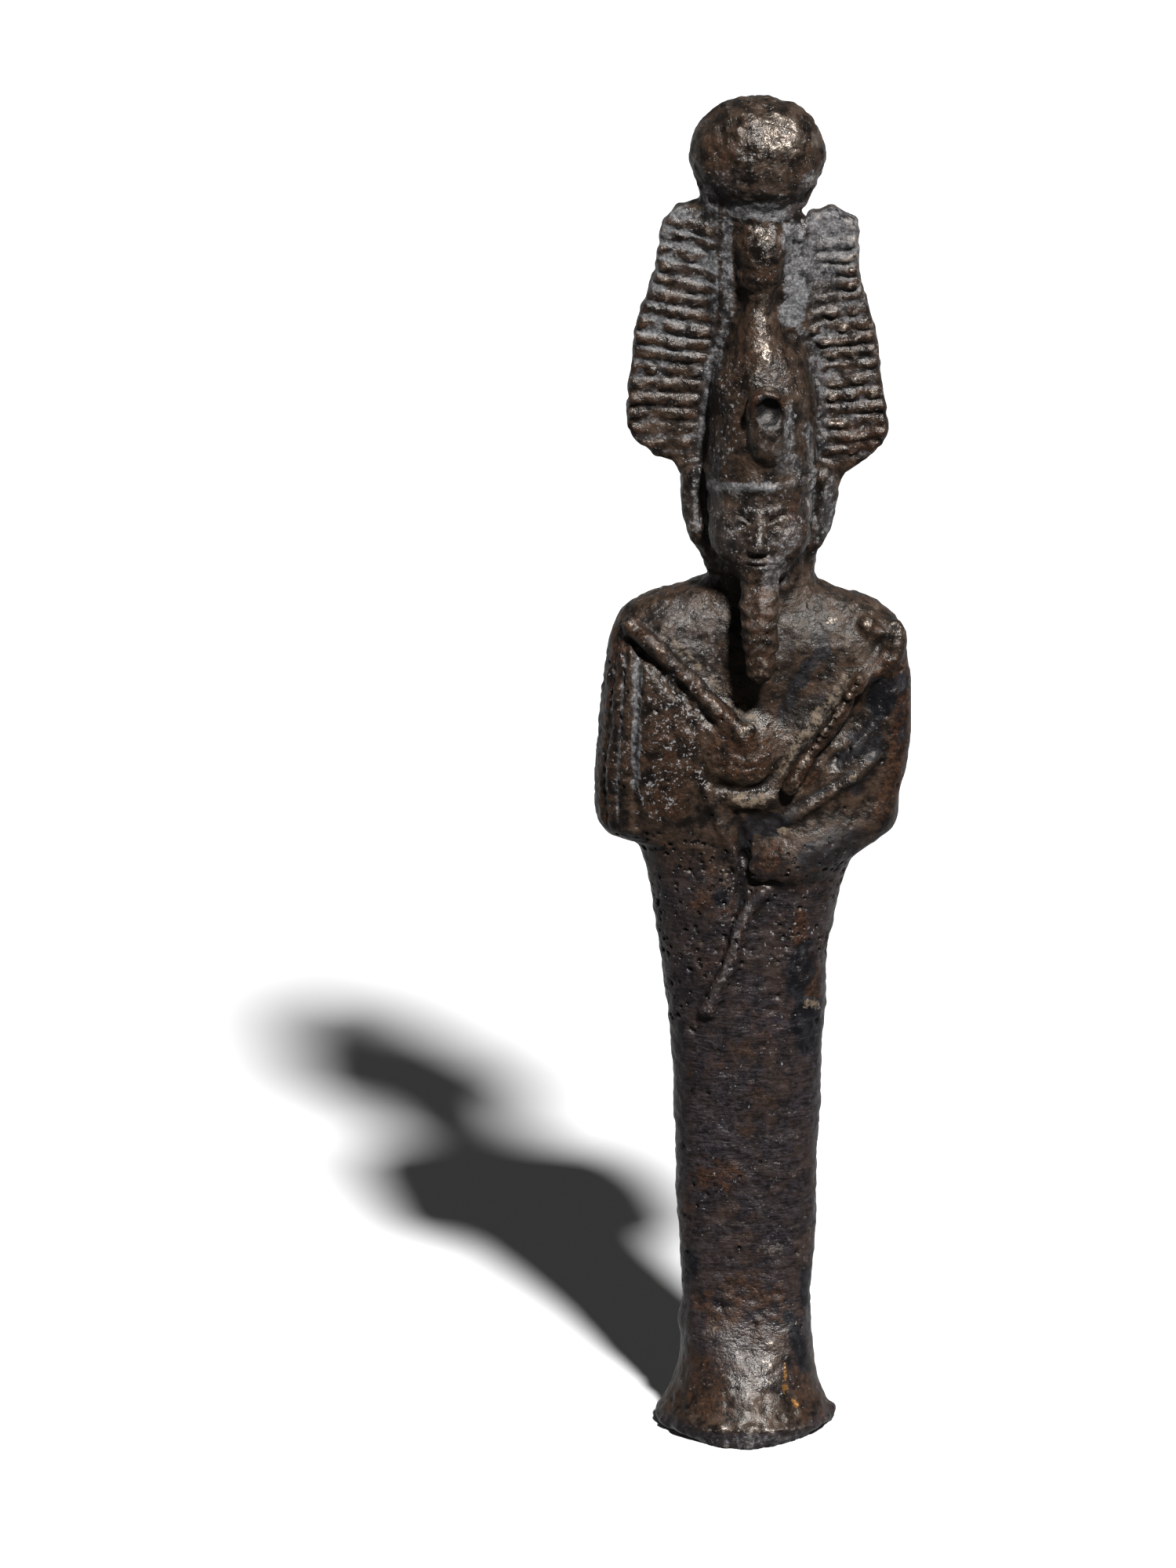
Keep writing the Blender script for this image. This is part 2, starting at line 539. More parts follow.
def model_body(g):
    g.loft(BODY, 0.5)
    g.loft(NECK, 0.9)
    # the upper arm on the flail's side: a panel with a rounded end
    g.loft(SLEEVE, 0.9)
    g.ball((-7.30, -3.25, 66.80), (3.40, 2.30, 10.2), 1.2)
    # the other arm: down to the elbow, then across to the lower hand
    g.ridge([(1126, 815), (1138, 870), (1140, 930), (1132, 985), (1114, 1030)], 1.60, -1.15, 1.0, 1.45)
    g.ridge([(1112, 1046), (1085, 1062), (1045, 1078), (1004, 1086)], 2.0, -1.60, 2.0, 1.9)
    # hollow between staff and arm
    g.ball(g.at(1102, 908, 0.0), (1.25, 0.95, 3.9), 0.6, (0, 40, 0), cut=True)
    g.ball(g.at(1068, 962, 0.0), (1.15, 0.70, 1.7), 0.5, (0, 44, 0), cut=True)
    # chest falls in under the collar, either side of the beard
    g.ball(g.at(896, 838, 0.35), (3.3, 0.90, 5.0), 1.2, (0, -43, 0), cut=True)
    g.ball(g.at(1030, 872, 0.30), (2.8, 0.95, 5.2), 1.1, (0, 38, 0), cut=True)
    g.ball(g.at(960, 905, 0.20), (2.6, 0.80, 2.2), 1.0, cut=True)

    # the flail: three strands hang over the arm from the handle's end
    for path, r in (
        (((787, 818), (783, 850), (778, 900), (772, 950), (769, 1000), (772, 1044)), 0.26),
        (((797, 818), (796, 850), (792, 900), (788, 950), (786, 1000), (788, 1052)), 0.28),
        (((812, 824), (812, 850), (810, 900), (809, 950), (808, 1000), (812, 1052)), 0.42),
    ):
        g.ridge(path, r, 0.04, 0.30, cut=True)
    # handle from the shoulder to the upper hand, with the gap under it
    g.ridge([(806, 814), (838, 854), (880, 894), (914, 928)], 0.56, 0.06, 0.35, 0.46, cut=True)
    g.ridge([(803, 793), (846, 833), (893, 879), (928, 915), (950, 936)], 0.74, 0.34, 0.35, 0.66)
    g.ball(g.at(804, 796, -0.2), (0.75, 0.6, 0.75), 0.5)
    # upper arm's edge beside the hand
    g.ridge([(870, 876), (885, 930), (896, 985), (904, 1004)], 0.34, -0.02, 0.5, cut=True)
    g.ridge([(878, 930), (891, 980), (900, 1004)], 0.30, 0.05, 0.4)

    # ledge of the lower arm, and the sleeve's edge running down from it
    g.ball(g.at(957, 1018, -0.55), (2.6, 1.20, 0.95), 0.9, (0, 4, 0), power=2.4)
    g.ridge([(903, 1008), (917, 1046), (934, 1078), (941, 1106)], 0.46, -0.10, 0.6)
    # upper hand: a blunt mass, undercut, its fingers worn almost away
    low = g.at(945, 970, -1.25)
    g.ball(g.at(942, 950, -1.75), (3.10, 2.05, 2.70), 1.5, (0, 16, 0), power=2.3)
    g.ball(low, (2.95, 2.05, 2.20), 0.8, (0, 8, 0), power=2.7)
    g.ridge([(916, 1001), (946, 1008), (970, 1002), (988, 988)], 0.44, 0.14, 0.35, cut=True)
    for path in (
        ((906, 962), (930, 957), (950, 964)),
        ((910, 978), (932, 974), (952, 980)),
    ):
        g.ridge(path, 0.13, 0.02, 0.30, cut=True)
    g.ball(g.at(950, 933, -0.1), (1.20, 0.50, 0.70), 0.4, (0, -35, 0))

    # the crook: hook at the shoulder, beaded staff, thick collar by the hand
    for c, r, s in ((1106, 797, 0.95), (1122, 806, 0.50), (1140, 799, 0.75), (1146, 816, 0.6)):
        g.ball(g.at(c, r, 0.0), (s, s * 0.8, s), 0.4)
    g.ball(g.at(1121, 822, 0.15), (0.75, 0.6, 0.7), 0.35, cut=True)
    g.ridge([(1146, 812), (1139, 836), (1118, 852), (1090, 872)], 0.88, -0.06, 0.5, 0.72)
    g.ridge([(1096, 868), (1062, 924), (1032, 960), (1010, 996)], 0.66, 0.08, 0.40, 0.66)
    g.ridge([(1094, 888), (1068, 934), (1044, 968)], 0.34, 0.0, 0.35, cut=True)
    g.ridge([(1027, 967), (1018, 981), (1007, 1001)], 0.72, 0.34, 0.22, 0.76)
    for p in g.trace([(1093, 866), (1058, 921), (1036, 950)], 0.34, 9.5):
        s = 0.8 + 0.35 * math.sin(float(p[0]) * 9.0)
        g.ball(p, (0.46 * s, 0.36 * s, 0.42 * s), 0.28)
    # forearm's upper edge
    g.ridge([(1004, 1044), (1048, 1018), (1092, 988), (1114, 964)], 0.40, 0.02, 0.5)

    # lower hand, with the deep gap beside it
    g.ball(g.at(984, 1098, -1.25), (2.15, 1.70, 1.75), 1.1, power=2.8)
    g.ball(g.at(1016, 1100, -1.05), (3.4, 0.95, 1.35), 2.0, (0, -18, 0))
    g.ridge([(938, 1036), (944, 1060), (949, 1090)], 0.18, -0.08, 0.40, 0.46, cut=True)
    g.ridge([(949, 1090), (949, 1116), (946, 1138), (941, 1158)], 0.46, -0.08, 0.35, 0.26, cut=True)
    for r in (1083, 1097):
        g.ridge([(960, r), (976, r + 1), (992, r - 1)], 0.12, 0.0, 0.25, cut=True)
    g.ridge([(954, 1125), (970, 1130), (986, 1126)], 0.38, -0.05, 0.35, cut=True)
    # the crook's lower end lying on the skirt, cut back on its left
    g.ridge(ROD, 0.72, 0.10, 0.60, 0.76)
    g.ridge([(946, 1116), (942, 1136), (939, 1159), (931, 1182), (926, 1205), (917, 1230), (905, 1254), (892, 1279)], 0.26, 0.0, 0.22, 0.20, cut=True)


def model_foot(g):
    # the toe's upper edge, a faint crease above it, and its two corners
    edge = []
    for i in range(-9, 10):
        x = -0.60 + i * 0.80
        up = 1.72 - 0.80 * (abs(i) / 9) ** 2.4
        edge.append((x, front(x, up) + 0.18, up))
    g.bar(edge, 0.24, 0.45)
    g.ridge([(962, 1777), (985, 1779), (1003, 1780), (1019, 1792)], 0.12, 0.03, 0.25, cut=True)
    g.ball((-7.95, -1.10, 0.85), (0.50, 1.0, 0.48), 0.5)
    g.ball((7.00, -1.00, 0.95), (0.62, 1.0, 0.48), 0.5)
    # a small lump on the edge of the leg
    g.ball((-5.98, -0.6, 9.9), (0.40, 1.0, 1.3), 0.8)


def model_head(g):
    mid = 0.70
    g.loft(HEAD, 0.8)
    for s in (-1, 1):
        g.ball((mid + s * 2.2, front(mid + s * 2.2, 85.4, HEAD) + 1.55, 85.40), (1.95, 1.75, 1.95), 1.7)
        # shallow socket, eye, lids and brow
        x = mid + s * 1.92
        g.ball((x + s * 0.10, front(x, 87.2, HEAD) + 0.02, 87.15), (1.25, 0.32, 0.58), 0.6, cut=True)
        g.ball((x, front(x, 87.1, HEAD) + 0.28, 87.10), (1.00, 0.50, 0.46), 0.18)
        lid = ((0.88, 86.98), (1.35, 87.36), (1.92, 87.52), (2.50, 87.40), (3.15, 87.05))
        low = ((0.88, 86.96), (1.35, 86.76), (1.92, 86.68), (2.50, 86.78), (3.15, 87.03))
        arc = ((0.80, 88.24), (1.30, 88.40), (2.05, 88.46), (2.80, 88.30), (3.50, 87.92))
        for curve, r, out in ((lid, 0.15, 0.05), (low, 0.11, 0.02), (arc, 0.25, -0.05)):
            pts = [(mid + s * a, front(mid + s * a, b, HEAD) - out, b) for a, b in curve]
            g.bar(pts, r, 0.25)
        g.ball((mid + s * 0.62, -7.00, 85.00), (0.44, 0.50, 0.38), 0.3)
    g.bar([(mid, -6.25, 88.0), (mid, -6.72, 86.6), (mid, -7.28, 85.28)], [0.42, 0.50, 0.62], 0.6)
    # lips
    for s in (-1, 1):
        g.bar([(mid + s * 0.12, -7.02, 83.66), (mid + s * 0.70, -6.94, 83.70), (mid + s * 1.40, -6.62, 83.48)], [0.25, 0.23, 0.10], 0.25)
        g.bar([(mid, -7.00, 83.10), (mid + s * 0.62, -6.92, 83.12), (mid + s * 1.25, -6.64, 83.38)], [0.28, 0.25, 0.10], 0.25)
    g.bar([(mid - 1.42, -6.68, 83.45), (mid, -7.20, 83.40), (mid + 1.42, -6.68, 83.45)], 0.09, 0.15, cut=True)
    g.ball((mid, -6.85, 82.50), (1.0, 0.25, 0.22), 0.35, cut=True)
    g.ball((mid, -6.10, 81.95), (1.45, 1.05, 0.85), 0.7)
    # ears and the flaps behind them, running diagonally into the neck
    left = ((-5.55, 89.9), (-5.52, 87.6), (-5.42, 85.5), (-4.75, 83.8), (-3.85, 82.4), (-3.15, 81.3))
    right = ((6.75, 89.8), (6.95, 87.8), (6.70, 86.2), (6.15, 84.9), (5.45, 83.6), (5.00, 82.4))
    for s, side in ((-1, left), (1, right)):
        for y, r in ((-0.35, 0.66), (0.9, 0.78), (2.1, 0.66)):
            g.bar([(x, y, z) for x, z in side], [r, r, r, r, r * 0.9, r * 0.7][: len(side)], 0.8)
        for y, r in ((-0.25, 0.78), (0.9, 0.85), (2.0, 0.80)):
            g.bar([(x - s * 0.95, y, z) for x, z in side], [r, r, r, r, r * 0.9, r * 0.7], 0.6)
    g.bar([(-5.15, -1.00, 90.2), (-5.15, -1.10, 87.6), (-5.05, -1.10, 85.4), (-4.55, -0.95, 83.8)], [0.26, 0.30, 0.28, 0.20], 0.35)
    g.bar([(6.35, -1.00, 89.6), (6.55, -1.10, 87.6), (6.15, -1.10, 85.6), (5.50, -0.95, 84.2)], [0.26, 0.30, 0.28, 0.20], 0.35)
    g.bar([(-4.42, -1.35, 90.2), (-4.45, -1.25, 87.5), (-4.40, -1.10, 85.0), (-3.95, -1.0, 83.2)], 0.34, 0.4, cut=True)
    g.bar([(5.80, -1.40, 89.8), (5.85, -1.30, 87.5), (5.65, -1.25, 85.2)], 0.24, 0.4, cut=True)
    g.bar([(-4.50, -1.35, 90.4), (-4.50, -1.25, 88.0), (-4.42, -1.20, 85.4)], 0.28, 0.3, cut=True)
    g.bar([(-4.1, -0.4, 84.4), (-3.2, -0.4, 82.8), (-2.45, 0.1, 80.8)], [1.0, 1.1, 1.1], 0.9)
    g.bar([(5.7, -0.1, 84.6), (4.9, 0.1, 82.8), (4.4, 0.3, 81.0)], [1.0, 1.1, 1.2], 0.8)
    # beard, and the web that ties it to the throat
    g.loft(BEARD, 0.40)
    g.bar([(mid + 0.1, -4.6, 80.6), (mid + 0.1, -4.9, 78.6)], [0.75, 0.55], 0.6)


def barbs(x, z):
    """How far each plume's barbs stand out of the plate."""
    x, z = np.broadcast_arrays(np.asarray(x, float), np.asarray(z, float))
    p = np.stack([x.ravel(), np.zeros(x.size), z.ravel()], 1)
    slow = noise(p, (3.0, 1, 1.6), 81).reshape(x.shape)
    quick = noise(p, (0.9, 1, 0.8), 83).reshape(x.shape)
    edge = np.interp(z, [91.0, 93.0, 113.0], [-11.0, -11.1, -8.0])
    lean = 0.20 * ramp(z, 93.0, 110.0)
    s = (z + lean * (x - edge)) / 1.415 + 0.06 * slow + 0.03 * quick
    left = ramp(0.5 + 0.5 * np.sin(2 * np.pi * (s + 0.05)), 0.06, 0.66)
    inner = np.interp(z, [91, 97, 100, 103, 107, 113], [-4.85, -4.60, -3.80, -3.30, -2.90, -2.90])
    m = ramp(x, inner + 0.10, inner - 0.9) * ramp(z, 90.9, 92.0) * ramp(z, 114.0, 113.2)
    left = left * m * (0.27 + 0.12 * quick + 0.08 * slow) * (1 - 0.35 * ramp(z, 97.0, 92.0))
    strip = ramp(x, inner - 0.2, inner + 0.3) * ramp(x, inner + 1.3, inner + 0.9)
    s = (z - 0.10 * (x - 6.0) + 0.07 * np.sin(x * 1.7)) / 1.318 + 0.09 * slow + 0.06 * quick
    right = ramp(0.5 + 0.5 * np.sin(2 * np.pi * (s - 0.10)), 0.08, 0.72)
    inner = np.interp(z, [91, 95, 101, 103, 105, 108, 113], [6.5, 6.4, 6.3, 5.1, 4.9, 5.4, 5.0])
    m = ramp(x, inner - 0.5, inner + 0.5) * ramp(z, 90.0, 91.2) * ramp(z, 114.2, 113.2)
    worn = 1 - 0.30 * ramp(z, 106.0, 110.5)
    right = right * m * worn * (0.27 + 0.18 * quick + 0.10 * slow)
    return left + right + 0.14 * strip * ramp(z, 90.5, 92.0) * ramp(z, 106.0, 104.0)


def model_crown(g):
    g.loft(CROWN, 0.5)
    poly = PLUME_LEFT + PLUME_RIGHT
    sl, (x, y, z) = g.part((-13.0, -1.6, 87.0), (13.6, 4.6, 118.6))
    flat = polygon_distance(x[:, 0, :], z[0, :, :], poly)[:, None, :].astype(np.float32)
    out = barbs(x[:, 0, :].astype(float), z[0, :, :].astype(float))[:, None, :].astype(np.float32)
    r = 0.45
    w = np.maximum(PLATE_FRONT - out - y, y - PLATE_BACK) + r
    d = flat + r * 0.9
    d = np.minimum(np.maximum(d, w), 0) + np.sqrt(np.maximum(d, 0) ** 2 + np.maximum(w, 0) ** 2) - r
    g.join(sl, d, 0.35)
    # the web that slopes from the plumes up to the crown
    g.ball((0.85, 0.60, 107.4), (4.9, 1.45, 7.6), 0.7, power=2.2)
    # disc and the throat under it
    g.ball((0.53, 0.75, 119.62), (6.02, 4.40, 5.24), 0.6)
    g.ball((0.55, 0.30, 114.60), (3.1, 1.70, 1.60), 1.4)
    g.ball((0.30, 0.50, 112.50), (4.3, 1.30, 2.4), 1.1)
    g.ball((-2.55, 0.60, 115.50), (1.2, 1.3, 1.9), 1.0, (0, 18, 0))
    g.ball((2.10, 0.60, 115.60), (1.0, 1.3, 1.5), 0.6, (0, -22, 0))
    g.ridge([(1009, 282), (1020, 305)], 0.22, -0.02, 0.35)
    g.ridge([(1031, 279), (1020, 305)], 0.22, -0.02, 0.35)
    # cobra: a hood hollow under its rim, and the body below it
    g.ball((1.45, -6.10, 95.80), (1.72, 1.70, 3.30), 0.40)
    g.ball((1.45, -6.00, 98.20), (1.72, 1.55, 1.60), 0.35)
    g.bar([(-0.15, -6.70, 97.2), (0.05, -7.05, 98.4), (0.66, -7.35, 99.3), (1.45, -7.45, 99.62), (2.24, -7.35, 99.3), (2.88, -7.05, 98.4), (3.06, -6.70, 97.2)], [0.30, 0.40, 0.44, 0.46, 0.44, 0.40, 0.30], 0.3)
    g.ball((1.45, -7.85, 98.10), (1.22, 1.30, 1.36), 0.40, cut=True)
    # rim of the crown over the brow
    rim = []
    for a in range(-80, 81, 8):
        t = math.radians(a)
        rim.append((0.95 + 5.12 * math.sin(t), -6.60 * math.cos(t) ** 0.95, 90.85 - 0.25 * math.cos(t)))
    g.bar(rim, 0.27, 0.35)


def worked(v, n):
    """Push points along their normals: everything finer than the forms."""
    col = COL0 + v[:, 0] / PX
    row = ROW0 - (v[:, 2] * CT + v[:, 1] * ST) / PX
    z = v[:, 2]
    d = np.zeros(len(v))
    ahead = ramp(n[:, 1], 0.35, -0.10)
    # hand-worked wax under it all
    d += 0.10 * noise(v, (5.5, 5.5, 8.0), 3) + 0.06 * noise(v, (2.4, 2.4, 3.0), 5)
    # corroded skin; the crown is rougher than the skirt
    face = ramp(np.hypot((col - 966) / 62, (row - 680) / 62), 1.15, 0.85) * ahead
    rough = (0.45 + 0.55 * ramp(z, 60, 84) + 0.35 * ramp(z, 9, 2)) * (1 - 0.45 * face)
    d += rough * (0.080 * noise(v, 1.25, 7) + 0.085 * noise(v, 0.66, 11))
    # disc: hammered-looking, pitted
    disc = ramp(z, 114.2, 115.5)
    c, tag = cells(v, (1.05, 1.05, 1.05), 21)
    d += disc * (0.13 * (c - 0.45) + 0.05 * noise(v, 1.9, 23) + 0.06 * noise(v, 0.55, 25))
    # the knob and the crown's front: lumps of corrosion
    knob = ramp(z, 105.5, 107.5) * ramp(z, 114.5, 113.5) * ramp(np.abs(v[:, 0] - 0.8), 3.4, 2.4)
    d += knob * (0.12 * noise(v, (1.5, 1.1, 0.8), 27) + 0.07 * noise(v, 0.5, 29))
    # skirt: faint tool marks running across
    skirt = ramp(z, 5, 10) * ramp(z, 54, 46)
    d += skirt * (0.040 * noise(v, (2.6, 2.6, 0.60), 31) + 0.050 * noise(v, (0.9, 0.9, 0.65), 33))
    # plaited beard, worn
    beard = ramp(v[:, 1], -5.6, -6.4) * ramp(z, 81.2, 80.4) * ramp(z, 72.5, 73.5)
    beard *= ramp(np.abs(v[:, 0] - 0.75), 2.2, 1.9)
    swing = np.abs(((v[:, 0] - 0.75) * 0.9 + 4.0) % 1.6 - 0.8) * 0.7
    d += beard * (0.075 * np.sin((z + swing) * 2 * np.pi / 1.15) + 0.07 * noise(v, 0.9, 37))
    # lumps along the handle and staff
    rods = np.minimum(line_distance(col, row, ((803, 791), (950, 938))), line_distance(col, row, ((1140, 830), (1090, 872), (1006, 1000))))
    rods = np.minimum(rods, line_distance(col, row, ROD))
    d += ramp(rods, 11, 6) * ahead * 0.085 * noise(v, 0.95, 39)
    # the strands are strung with beads
    beads = ramp(col, 806, 796) * ramp(row, 812, 830) * ramp(row, 1060, 1040) * ahead
    d += beads * (0.11 * noise(v, (0.7, 0.7, 0.9), 47) + 0.04 * np.sin(z * 2 * np.pi / 1.05))
    # foot: rough edge and toe
    foot = ramp(z, 4.2, 1.6)
    d += foot * (0.07 * noise(v, 0.95, 41) + 0.05 * noise(v, 0.55, 43))
    # broken top of the right plume
    chip = ramp(z, 108.5, 112.5) * ramp(v[:, 0], 4.5, 6.0)
    d += chip * (0.11 * noise(v, 0.9, 51) - 0.02)
    # casting pores, in patches
    patch = ramp(noise(v, (4.5, 4.5, 5.0), 61), -0.35, 0.35)
    low = ramp(row, 1045, 1085) * ramp(row, 1335, 1270)
    left = ramp(col, 985, 930)
    right = ramp(col, 975, 1000) * ramp(row, 1250, 1200)
    pores = np.maximum(low * np.maximum(left, right), 0.12 * ramp(z, 6, 12) * ramp(z, 76, 70))
    pores = pores * (0.35 + 0.65 * patch)
    for size, seed, share in ((0.95, 71, 0.55), (0.62, 73, 0.50)):
        c, tag = cells(v, (size * 1.15, size, size * 0.85), seed)
        hit = tag < share * pores
        d -= hit * 0.32 * ramp(c, 0.34, 0.14)
    return v + n * d[:, None], pores


def line_distance(col, row, path):
    """Distance in pixels of the picture to a broken line."""
    best = np.full(len(col), 1e9)
    for (ca, ra), (cb, rb) in zip(path, path[1:]):
        ec, er = cb - ca, rb - ra
        t = np.clip(((col - ca) * ec + (row - ra) * er) / (ec * ec + er * er), 0, 1)
        best = np.minimum(best, np.hypot(col - ca - t * ec, row - ra - t * er))
    return best


def normals(v, q):
    a, b, c, e = (v[q[:, i]] for i in range(4))
    f = np.cross(c - a, e - b)
    out = np.zeros_like(v)
    for i in range(4):
        for axis in range(3):
            out[:, axis] += np.bincount(q[:, i], f[:, axis], len(v))
    return out / np.maximum(np.linalg.norm(out, axis=1), 1e-12)[:, None]


def relax(v, q, times):
    """Even out the steps the grid leaves on gentle slopes."""
    a, b = q.ravel(), np.roll(q, -1, 1).ravel()
    count = (np.bincount(a, minlength=len(v)) + np.bincount(b, minlength=len(v)))[:, None]
    for _ in range(times):
        total = np.empty_like(v)
        for axis in range(3):
            total[:, axis] = np.bincount(a, v[b, axis], len(v)) + np.bincount(b, v[a, axis], len(v))
        v = 0.5 * v + 0.5 * total / count
    return v


def largest(v, q):
    """Drop crumbs: keep the biggest connected surface."""
    parent = np.arange(len(v))
    while True:
        low = parent[q].min(1)
        new = parent.copy()
        for i in range(4):
            np.minimum.at(new, q[:, i], low)
        new = new[new]
        if (new == parent).all():
            break
        parent = new
    roots, count = np.unique(parent, return_counts=True)
    keep = parent == roots[count.argmax()]
    index = np.cumsum(keep) - 1
    q = q[keep[q[:, 0]]]
    return v[keep], index[q]


model_body(GRID)
model_foot(GRID)
model_head(GRID)
model_crown(GRID)
GRID.f = np.maximum(GRID.f, -GRID.z.reshape(1, 1, -1).astype(np.float32))
verts, quads = surface(GRID)
verts, quads = largest(verts, quads)
verts = relax(verts, quads, 2)
verts, _ = worked(verts, normals(verts, quads))
lo = np.array(CAD_BOX[0]) / MM - SHIFT
hi = np.array(CAD_BOX[1]) / MM - SHIFT
verts = np.clip(verts, lo, hi)
verts[verts[:, 2] < 0.12, 2] = 0.0

mesh = bpy.data.meshes.new("osiris_skin")
mesh.vertices.add(len(verts))
mesh.vertices.foreach_set("co", ((verts + SHIFT) * MM).astype(np.float32).ravel())
mesh.loops.add(len(quads) * 4)
mesh.loops.foreach_set("vertex_index", quads.ravel().astype(np.int32))
mesh.polygons.add(len(quads))
mesh.polygons.foreach_set("loop_start", np.arange(0, len(quads) * 4, 4, dtype=np.int32))
mesh.update(calc_edges=True)
mesh.validate()
figure = bpy.data.objects.new("osiris_skin", mesh)
bpy.context.scene.collection.objects.link(figure)

TRIANGLES = 196000
if len(quads) * 2 > TRIANGLES:
    thin = figure.modifiers.new("thin", "DECIMATE")
    thin.ratio = TRIANGLES / (len(quads) * 2)
    bpy.context.view_layer.update()
    graph = bpy.context.evaluated_depsgraph_get()
    light = bpy.data.meshes.new_from_object(figure.evaluated_get(graph))
    figure.modifiers.clear()
    figure.data = light
    bpy.data.meshes.remove(mesh)
    mesh = light
mesh.shade_smooth()


# ------------------------------------------------------------ where the patina lies
# Patches and strips are placed by column and row of the picture.
# patch: column, row, half width, half height, turn in degrees, amount
DUST_PATCHES = (
    (965, 272, 50, 13, 0, 0.74), (1026, 242, 14, 28, 20, 0.66), (905, 254, 12, 20, -20, 0.66),
    (985, 240, 36, 26, 0, 0.42), (935, 240, 44, 26, 0, 0.38), (925, 150, 40, 30, 0, 0.20),
    (1058, 310, 44, 46, 0, 0.66), (1050, 370, 24, 60, 0, 0.46), (870, 275, 22, 14, 0, 0.55),
    (888, 340, 30, 60, 0, 0.36),
    (922, 520, 17, 80, 4, 0.26), (945, 470, 14, 60, 0, 0.30), (1006, 545, 8, 38, 0, 0.60),
    (1003, 590, 20, 22, 0, 0.50), (1018, 520, 14, 60, -8, 0.28), (980, 566, 17, 18, 0, 0.34),
    (985, 480, 26, 26, 0, 0.38), (966, 665, 66, 62, 0, 0.34), (925, 690, 26, 34, 0, 0.40),
    (988, 728, 22, 26, 15, 0.55), (1004, 690, 16, 30, 20, 0.48), (1052, 645, 14, 44, 10, 0.48),
    (878, 640, 10, 40, 0, 0.40), (1020, 745, 20, 14, 0, 0.30),
    (878, 805, 46, 60, -40, 0.37), (905, 860, 22, 40, -40, 0.34), (850, 775, 36, 18, -15, 0.40),
    (1050, 800, 40, 30, 10, 0.07), (1028, 900, 26, 60, 25, 0.08), (1000, 950, 18, 40, 20, 0.26),
    (858, 940, 38, 76, 0, 0.12), (838, 1010, 32, 40, 0, 0.14), (1062, 1085, 44, 34, -35, 0.05),
    (1040, 1030, 40, 16, -35, 0.20), (995, 1130, 30, 12, 0, 0.20), (1000, 1185, 50, 40, 0, 0.12),
    (910, 1180, 60, 90, 0, 0.10), (985, 1590, 40, 20, 0, 0.26), (950, 1840, 80, 14, 0, 0.45),
    (1000, 1400, 60, 60, 0, 0.08),
)
# strip: path, half width, amount
DUST_STRIPS = (
    (((927, 284), (927, 330), (930, 372), (925, 415), (912, 455)), 9, 0.66),
    (((912, 455), (901, 500), (897, 540), (892, 590), (886, 618)), 7, 0.60),
    (((886, 600), (886, 640), (889, 676)), 4, 0.62),
    (((1014, 300), (1012, 340), (1012, 380), (1009, 405)), 17, 0.88),
    (((1015, 410), (1036, 440), (1047, 490), (1050, 550)), 9, 0.52),
    (((1029, 540), (1036, 600), (1034, 660)), 6, 0.60),
    (((1010, 284), (1020, 305), (1030, 280)), 4, 0.80),
    (((906, 617), (935, 620), (983, 621)), 6, 0.74),
    (((983, 621), (1020, 614), (1038, 604)), 6, 0.45),
    (((813, 830), (812, 900), (810, 1000)), 7, 0.66),
    (((797, 835), (793, 900), (787, 1000), (789, 1046)), 3, 0.55),
    (((784, 850), (777, 930), (772, 1010)), 2.5, 0.45),
    (((1150, 830), (1156, 900), (1152, 960)), 5, 0.25),
    (((900, 1005), (915, 1040), (934, 1078), (942, 1110)), 5, 0.30),
    (ROD, 6, 0.46),
)
# crisp pale specks
SPECK_PATCHES = (
    (862, 925, 40, 85, 0, 0.95), (840, 1010, 34, 42, 0, 0.90), (925, 540, 22, 90, 4, 0.75),
    (970, 670, 66, 66, 0, 0.55), (1010, 560, 18, 70, 0, 0.60), (905, 800, 70, 40, -40, 0.40),
    (780, 930, 22, 110, 0, 0.45), (950, 965, 44, 30, 0, 0.35), (930, 215, 50, 40, 0, 0.40),
    (1000, 250, 50, 26, 0, 0.45), (1010, 1180, 50, 50, 0, 0.30), (905, 1170, 60, 80, 0, 0.30),
    (950, 1760, 90, 50, 0, 0.18), (950, 1400, 70, 200, 0, 0.10), (965, 330, 34, 44, 0, 0.35),
)
